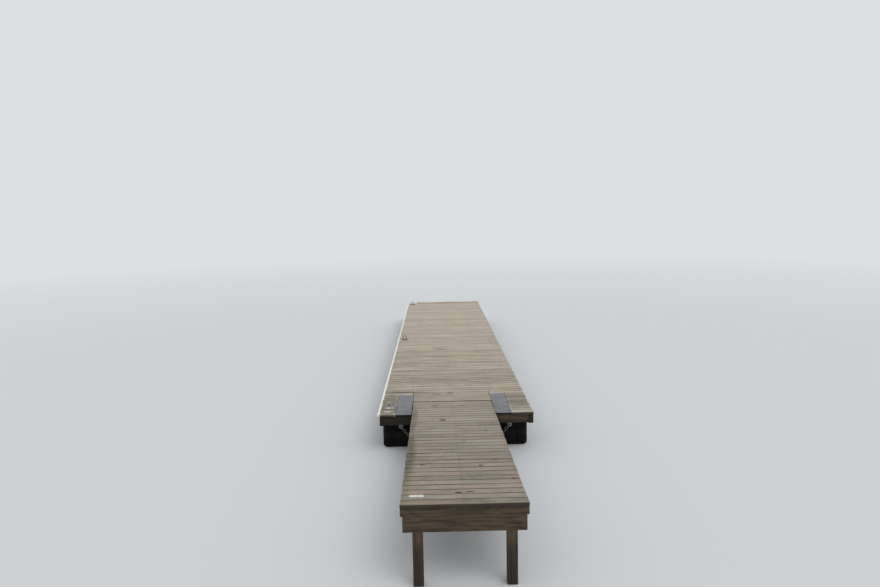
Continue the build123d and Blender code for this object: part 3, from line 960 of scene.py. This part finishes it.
def plasticMaterial(name, look):
    material, tree, shader = newMaterial(name)
    place = objectPlace(tree)
    wear = useGroup(tree, surfaceWear, {"Vector": place, "Scale": look["scale"]})
    finer = vectorMath(tree, "MULTIPLY", place, (2.0, 2.0, 2.0))
    marks = useGroup(tree, stains, {"Vector": finer, "Spread": 0.6})
    # A line of scum at one height
    fromLevel = apart(tree, splitVector(tree, place)["Z"], look["scumLevel"])
    scum = remap(tree, fromLevel, look["scumReach"], 0.0)
    broken = remap(tree, wear["Mottle"], 0.35, 0.6, 0.2, look["scum"])
    colour = layTones(
        tree, look, betweenTones(tree, look, remap(tree, wear["Mottle"], *mottleRange)),
        (times(tree, scum, broken), 1.0, "scumTone"),
        (marks["Dirt"], "dirt", "dirtTone"),
        (marks["Growth"], "growth", "green"),
    )
    connect(tree, shader, {
        "Base Color": colour,
        "Roughness": remap(tree, wear["Mottle"], 0.3, 0.7, look["smooth"], look["rough"]),
        "Specular IOR Level": look["gloss"],
    }, wear["Height"], look["relief"])
    return material


# Black plastic, painted darker still: the floats' tones carry painted shade from the deck above them
floatPlasticAndShade = plasticMaterial("floatPlasticAndShade", {
    "scale": 1.0, "dark": (5, 5, 6), "light": (14, 14, 15), "scumLevel": 0.2, "scumReach": 0.06,
    "scum": 0.4, "scumTone": (44, 43, 34), "dirt": 0.25, "dirtTone": (24, 23, 19), "growth": 0.25,
    "green": (24, 27, 17), "smooth": 0.5, "rough": 0.75, "gloss": 0.12, "relief": 0.0006,
})
stripPlastic = plasticMaterial("edgeStripPlastic", {
    "scale": 2.0, "dark": (226, 223, 214), "light": (244, 242, 234), "scumLevel": 0.541,
    "scumReach": 0.012, "scum": 0.5, "scumTone": (150, 148, 132), "dirt": 0.3,
    "dirtTone": (160, 156, 144), "growth": 0.3, "green": (150, 152, 122), "smooth": 0.45,
    "rough": 0.65, "gloss": 0.5, "relief": 0.0003,
})

# Radius of each kind of worn edge
edges = {
    "beam": 0.0035, "timber": 0.0030, "ledger": 0.0012, "kerb": 0.0025, "sill": 0.004, "post": 0.005,
    "tank": 0.006, "hanger": 0.0012, "hinge": 0.001, "plate": 0.0008,
}
floatNodes = [f"{side}_float_{number}" for side in ("left", "right") for number in range(1, 5)]
hangerNodes = ["left_chain_hanger", "right_chain_hanger"]


def makeFrame():
    for node in (
        "left_side_beam", "right_side_beam", "left_notch_joist", "right_notch_joist", "centre_joist",
    ):
        dress(f"{node}_timber", node, timberAlong, edges["beam"])
    for node in (
        "notch_header", "far_header", "right_near_fascia", "far_fascia", "left_cross_ties",
        "right_cross_ties",
    ):
        dress(f"{node}_timber", node, timberAcross, edges["timber"])
    dress("left_near_fascia_timber", "left_near_fascia", timberDampAndShaded, edges["timber"])
    dress("plate_ledger_timber", "plate_ledgers", timberAlong, edges["ledger"])
    dress("farKerb", "far_kerb", kerbWood, edges["kerb"], slotName="weathered_boards")
    dress("shoreSill", "shore_sill", timberAcross, edges["sill"])
    dress("shorePosts", "shore_posts", timberUpright, edges["post"])
    for node in ("left_gangway_stringer", "centre_gangway_stringer", "right_gangway_stringer"):
        dress(f"{node}_timber", node, timberAlong, edges["timber"], "gangway")
    for node in ("gangway_headers", "gangway_spacers"):
        dress(f"{node}_timber", node, timberAcross, edges["timber"], "gangway")


def makeFloatsAndSteelwork():
    for node in floatNodes:
        dress(
            f"{node}_tank", node, floatPlasticAndShade, edges["tank"], slotName="float_plastic", segments=3,
            sharpAngle=40,
        )
    for node in hangerNodes:
        dress(f"{node}_plate", node, galvanised, edges["hanger"], slotName="galvanised_steel")
    for node, body in (
        ("platform_hinge_brackets", "platform"), ("hinge_pins", "platform"),
        ("gangway_hinge_lugs", "gangway"),
    ):
        dress(f"{node}_steel", node, galvanised, edges["hinge"], body, "galvanised_steel")


# Bolts on the hinge plates and the hangers, and under the floats' flanges: size across the flats,
# radius of the washer, and where they are
hingeBolts = {
    "size": (0.010, 0.010), "fromEnd": 0.068, "up": 0.034, "bracketOut": 0.052, "lugOut": 0.020,
    "plate": 0.006, "lugTop": 0.045,
}
hangerBolts = {"size": (0.012, 0.014), "down": (0.025, 0.075)}
floatBolts = {
    "size": (0.009, 0.0095), "flange": 0.016, "fromSide": 0.012, "reach": (-0.36, -0.12, 0.12, 0.36),
}


def makeBolts():
    fixed, moving = Shape(), Shape()
    bracketLow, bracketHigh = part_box("platform_hinge_brackets")
    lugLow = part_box("gangway_hinge_lugs")[0]
    pinLow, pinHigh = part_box("hinge_pins")
    middle, level = (bracketLow.x + bracketHigh.x) / 2, (pinLow.z + pinHigh.z) / 2
    spread = (bracketHigh.x - bracketLow.x) / 2 - hingeBolts["fromEnd"]
    thick = hingeBolts["plate"]
    for side in (-1, 1):
        for up in (-hingeBolts["up"], hingeBolts["up"]):
            for sign in (-1, 1):
                x = middle + side * spread + sign * hingeBolts["bracketOut"]
                hexBolt(fixed, (x, bracketHigh.y - thick, level + up), (0, -1, 0), *hingeBolts["size"])
            for sign in (-1, 1):
                x = middle + side * spread + sign * hingeBolts["lugOut"]
                y = lugLow.y + thick * math.cos(slope) + (hingeBolts["lugTop"] - up) * math.sin(slope)
                hexBolt(moving, (x, y, level + up), downSlope, *hingeBolts["size"])
    for node in hangerNodes:
        low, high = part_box(node)
        for down in hangerBolts["down"]:
            hexBolt(
                fixed, ((low.x + high.x) / 2, high.y, high.z - down), (0, 1, 0), *hangerBolts["size"]
            )
    for node in floatNodes:
        low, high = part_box(node)
        under, inset = high.z - floatBolts["flange"], floatBolts["fromSide"]
        for reach in floatBolts["reach"]:
            for x in (low.x + inset, high.x - inset):
                spot = (x, (low.y + high.y) / 2 + reach, under)
                hexBolt(fixed, spot, (0, 0, -1), *floatBolts["size"])
    fixed.build("platformBolts", galvanised, "galvanised_steel")
    moving.build("gangwayBolts", galvanised, "galvanised_steel", body="gangway")


# Screws through the fascias into the beams, and through the side beams into the ties
frameScrews = {
    "lift": 0.0002, "fromSide": 0.022, "fromEdge": 0.025, "beamCount": 9, "beamEnd": 0.052,
    "tieEdge": 0.035,
}


def makeFrameScrews():
    shape, lift = Shape(), frameScrews["lift"]
    side, edge, tieEdge = frameScrews["fromSide"], frameScrews["fromEdge"], frameScrews["tieEdge"]
    for node, facing in (("left_near_fascia", -1), ("right_near_fascia", -1), ("far_fascia", 1)):
        low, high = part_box(node)
        face = (low.y if facing < 0 else high.y) - facing * lift
        for x in (low.x + side, high.x - side):
            for z in (low.z + edge, high.z - edge):
                driveScrew(shape, (x, face, z), (0, facing, 0))
    tiesLow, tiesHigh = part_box("left_cross_ties")
    start, last = leftBeam[0].y + frameScrews["beamEnd"], frameScrews["beamCount"] - 1
    run = leftBeam[1].y - leftBeam[0].y - 2 * frameScrews["beamEnd"]
    for facing, face in ((-1, leftBeam[0].x), (1, rightBeam[1].x)):
        for i in range(last + 1):
            for z in (tiesLow.z + tieEdge, tiesHigh.z - tieEdge):
                driveScrew(shape, (face - facing * lift, start + run * i / last, z), (facing, 0, 0))
    shape.build("frameScrews", screwSteel, "galvanised_steel")


makeFrame()
makeFloatsAndSteelwork()
makeBolts()
makeFrameScrews()
print("frame, floats and steelwork dressed")


# The white strip, in lengths that butt together, screwed on from above

strip = {
    "lengths": 4, "joint": 0.003, "radius": 0.014, "ease": 0.0012, "screwPitch": 0.42,
    "screwInset": 0.021,
}


def makeEdgeStrip():
    low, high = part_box("left_edge_strip")
    radius, ease = strip["radius"], strip["ease"]
    run = (high.y - low.y + strip["joint"]) / strip["lengths"]
    shape, screws = Shape(), Shape()
    for number in range(strip["lengths"]):
        start = low.y + number * run
        end = start + run - strip["joint"]
        loops = []
        for inset, level in ((ease, start), (0, start + ease), (0, end - ease), (ease, end)):
            loop = [Vector((high.x, level, high.z - inset)), Vector((high.x, level, low.z + inset))]
            for z, angle in ((low.z + radius, 180), (high.z - radius, 90)):
                centre = Vector((low.x + radius, level, z))
                loop += arcPoints(centre, xAxis, zAxis, radius - inset, angle, angle + 90, 6)[::-1]
            loops.append(loop)
        sweepLoops(shape, loops)
        count = round(run / strip["screwPitch"])
        for i in range(count):
            place = (low.x + strip["screwInset"], start + run * (i + 0.5) / count, high.z)
            driveScrew(screws, place, zAxis)
    shape.build("edgeStrip", stripPlastic, "white_strip", "left_edge_strip")
    screws.build("edgeStripScrews", screwSteel, "galvanised_steel")


makeEdgeStrip()


# Cover plates, held down by screws

plate = {"screwRows": 5, "screwInset": 0.016}


def makeCoverPlates():
    screws, inset = Shape(), plate["screwInset"]
    for side, low, high in (("left", plateLow, plateHigh), ("right", rightPlateLow, rightPlateHigh)):
        dress(
            f"{side}CoverPlate", f"{side}_cover_plate", plateSteel, edges["plate"], slotName="plate_steel"
        )
        for row in range(plate["screwRows"]):
            share = row / (plate["screwRows"] - 1)
            y = low.y + inset * 2 + (high.y - low.y - inset * 3) * share
            for x in (low.x + inset, high.x - inset):
                driveScrew(screws, (x, y, high.z), zAxis)
    screws.build("coverPlateScrews", screwSteel, "galvanised_steel")


makeCoverPlates()


# Mooring rings and chains

ring = {
    "wire": 0.014, "width": 0.084, "height": 0.096, "sides": 16, "rootRise": 0.004, "legRise": 0.02,
    "baseThickness": 0.008, "baseCorner": 0.012, "baseEase": 0.0012, "boltInset": (0.015, 0.014),
    "boltSize": (0.013, 0.010), "weldRise": 0.003,
    "weld": [(0.0125, 0.0), (0.0108, 0.0028), (0.0078, 0.0062), (0.0070, 0.0066)],
}
chain = {
    "wire": 0.013, "length": 0.048, "width": 0.021, "clearance": 0.0003, "angle": 50.0,
    "holeRadius": 0.012, "hangerRadius": 0.030, "hangerThickness": 0.010, "sides": 14,
    "belowBox": 0.001,
}


def makeRings():
    leg = (ring["width"] - ring["wire"]) / 2
    ease, thickness = ring["baseEase"], ring["baseThickness"]
    for place in ("near", "middle", "far"):
        low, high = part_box(f"{place}_mooring_ring")
        middle = (low + high) / 2
        shape = Shape()
        top = low.z + ring["rootRise"] + ring["height"] - ring["wire"] / 2 - leg
        foot = Vector((middle.x, middle.y, low.z + ring["rootRise"]))
        crown = Vector((middle.x, middle.y, top))
        rise = zAxis * ring["legRise"]
        path = [foot + xAxis * leg, foot + xAxis * leg + rise]
        path += arcPoints(crown, xAxis, zAxis, leg, 0, 180, 22)
        path += [foot - xAxis * leg + rise, foot - xAxis * leg]
        roundBar(shape, path, ring["wire"] / 2, ring["sides"])
        halfX, halfY = (high.x - low.x) / 2, (high.y - low.y) / 2
        sweepLoops(shape, [
            roundedLoop(
                Vector((middle.x, middle.y, low.z + level)), xAxis, yAxis, halfX, halfY,
                ring["baseCorner"], inset,
            )
            for inset, level in ((ease, 0.0), (0.0, ease), (0.0, thickness - ease), (ease, thickness))
        ])
        for sideX in (-1, 1):
            for sideY in (-1, 1):
                spot = Vector((
                    middle.x + sideX * (halfX - ring["boltInset"][0]),
                    middle.y + sideY * (halfY - ring["boltInset"][1]), low.z + thickness,
                ))
                hexBolt(shape, spot, zAxis, *ring["boltSize"])
            weldPlace = foot + xAxis * leg * sideX + zAxis * ring["weldRise"]
            turned(shape, weldPlace, zAxis, ring["weld"], ring["sides"])
        steel = ringSteel if place == "near" else wornRingSteel
        shape.build(f"{place}MooringRing", steel, "galvanised_steel", f"{place}_mooring_ring")


def makeChains():
    # Each link hangs in the one above, the first in its hanger's hole, with the clearance between
    bend = (chain["width"] + chain["wire"]) / 2
    straight = (chain["length"] + chain["wire"]) / 2 - bend
    inner = chain["width"] / 2
    sag = inner - math.sqrt(inner ** 2 - (chain["hangerThickness"] / 2) ** 2)
    first = chain["holeRadius"] - chain["clearance"] - sag + chain["length"] / 2
    step = chain["length"] - chain["clearance"]
    drop = math.radians(chain["angle"])
    for side, inwards in (("left", 1), ("right", -1)):
        node = f"{side}_mooring_chain"
        low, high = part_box(f"{side}_chain_hanger")
        hole = Vector(((low.x + high.x) / 2, (low.y + high.y) / 2, low.z + chain["hangerRadius"]))
        down = Vector((inwards * math.cos(drop), 0, -math.sin(drop)))
        shape = Shape()
        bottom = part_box(node)[0].z
        index = 0
        while True:
            middle = hole + down * (first + index * step)
            across = yAxis if index % 2 == 0 else down.cross(yAxis)
            path = arcPoints(middle + down * straight, down, across, bend, -90, 90, 12)
            path += arcPoints(middle - down * straight, down, across, bend, 90, 270, 12)
            if min(p.z for p in path) - chain["wire"] / 2 < bottom - chain["belowBox"]:
                break
            roundBar(shape, path, chain["wire"] / 2, chain["sides"], closed=True)
            index += 1
        shape.build(f"{side}MooringChain", chainSteel, "galvanised_steel", node)
        print(side, "chain has", index, "links")


makeRings()
makeChains()
print("rings and chains made")


# Camera, light, floor

camera = {
    "place": (-0.2638, -13.2941, 3.4678),
    "turn": -0.465,           # degrees about the vertical
    "pitch": 7.056,           # degrees below the horizon
    "roll": -1.113,           # the lean that the jetty shows as it floats
    "lens": 26.562,
    "sensor": 36.0,
    "farthest": 500.0,
}
light = {
    "skyStrength": 0.84,
    "shoreShade": 0.45,       # how bright the sky is low down behind the camera, as a share
    "skyColour": (0.95, 0.975, 1.0, 1.0),
    "sunStrength": 0.85,
    "sunSpread": 42.0,        # degrees across, for soft shadows
    "sunTilt": (28.0, 24.0),
    "floorColour": (0.63, 0.64, 0.65, 1.0),
    "floorRoughness": 0.9,
    "backdropColour": (0.72, 0.74, 0.76, 1.0),
    "floorSize": 160.0,
    "fadeStart": 11.0,        # metres from the middle where the floor starts to meet the backdrop
    "fadeEnd": 38.0,
}


def placeCamera():
    turn, down, roll = (math.radians(camera[key]) for key in ("turn", "pitch", "roll"))
    level = Vector((math.cos(turn), math.sin(turn), 0))
    ahead = Vector((-math.sin(turn), math.cos(turn), 0))
    looking = ahead * math.cos(down) - zAxis * math.sin(down)
    above = ahead * math.sin(down) + zAxis * math.cos(down)
    right = level * math.cos(roll) + above * math.sin(roll)
    top = above * math.cos(roll) - level * math.sin(roll)
    data = bpy.data.cameras.new("photoCamera")
    data.lens = camera["lens"]
    data.sensor_width = camera["sensor"]
    data.sensor_fit = "HORIZONTAL"
    data.clip_end = camera["farthest"]
    made = addObject("photoCamera", data)
    rows = [(right[i], top[i], -looking[i], camera["place"][i]) for i in range(3)]
    made.matrix_world = Matrix((*rows, (0, 0, 0, 1)))
    bpy.context.scene.camera = made


def seenDirectly(tree):
    # By the camera, or in a reflection
    path = addNode(tree, "ShaderNodeLightPath").outputs
    return mathNode(tree, "MAXIMUM", path["Is Camera Ray"], path["Is Glossy Ray"])


def placeLight():
    world = bpy.data.worlds.new("studio")
    bpy.context.scene.world = world
    world.use_nodes = True
    tree = world.node_tree
    tree.nodes.clear()
    heading = splitVector(tree, addNode(tree, "ShaderNodeTexCoord").outputs["Generated"])
    # The sky is dimmer low down on the shore's side
    facing = weighed(tree, heading["Y"], (heading["Z"], 1.2))
    full = light["skyStrength"]
    strength = remap(tree, facing, -0.7, 0.6, full * light["shoreShade"], full)
    sky = addNode(tree, "ShaderNodeBackground", {"Color": light["skyColour"], "Strength": strength})
    shown = addNode(tree, "ShaderNodeBackground", {"Color": light["backdropColour"], "Strength": 1.0})
    mix = addNode(tree, "ShaderNodeMixShader", {
        0: seenDirectly(tree), 1: sky.outputs[0], 2: shown.outputs[0],
    })
    addNode(tree, "ShaderNodeOutputWorld", {"Surface": mix.outputs[0]})
    sun = bpy.data.lights.new("softSun", "SUN")
    sun.energy = light["sunStrength"]
    sun.angle = math.radians(light["sunSpread"])
    tilt = (math.radians(angle) for angle in light["sunTilt"])
    addObject("softSun", sun).rotation_euler = (*tilt, 0)


def makeFloor():
    shape = Shape()
    half = light["floorSize"] / 2
    shape.add([(-half, -half, 0), (half, -half, 0), (half, half, 0), (-half, half, 0)], [(0, 1, 2, 3)])
    material, tree, shader = newMaterial("studioFloor")
    connect(tree, shader, {"Base Color": light["floorColour"], "Roughness": light["floorRoughness"]})
    distance = vectorMath(tree, "LENGTH", objectPlace(tree))
    fade = times(tree, remap(tree, distance, light["fadeStart"], light["fadeEnd"]), seenDirectly(tree))
    backdrop = addNode(tree, "ShaderNodeEmission", {"Color": light["backdropColour"], "Strength": 1.0})
    mix = addNode(tree, "ShaderNodeMixShader", {0: fade, 1: shader.outputs[0], 2: backdrop.outputs[0]})
    feed(tree, tree.nodes["Material Output"].inputs["Surface"], mix.outputs[0])
    shape.build("studioFloor", material)


placeCamera()
placeLight()
makeFloor()
bpy.context.scene.view_settings.view_transform = "Standard"
print("camera, light and floor placed")
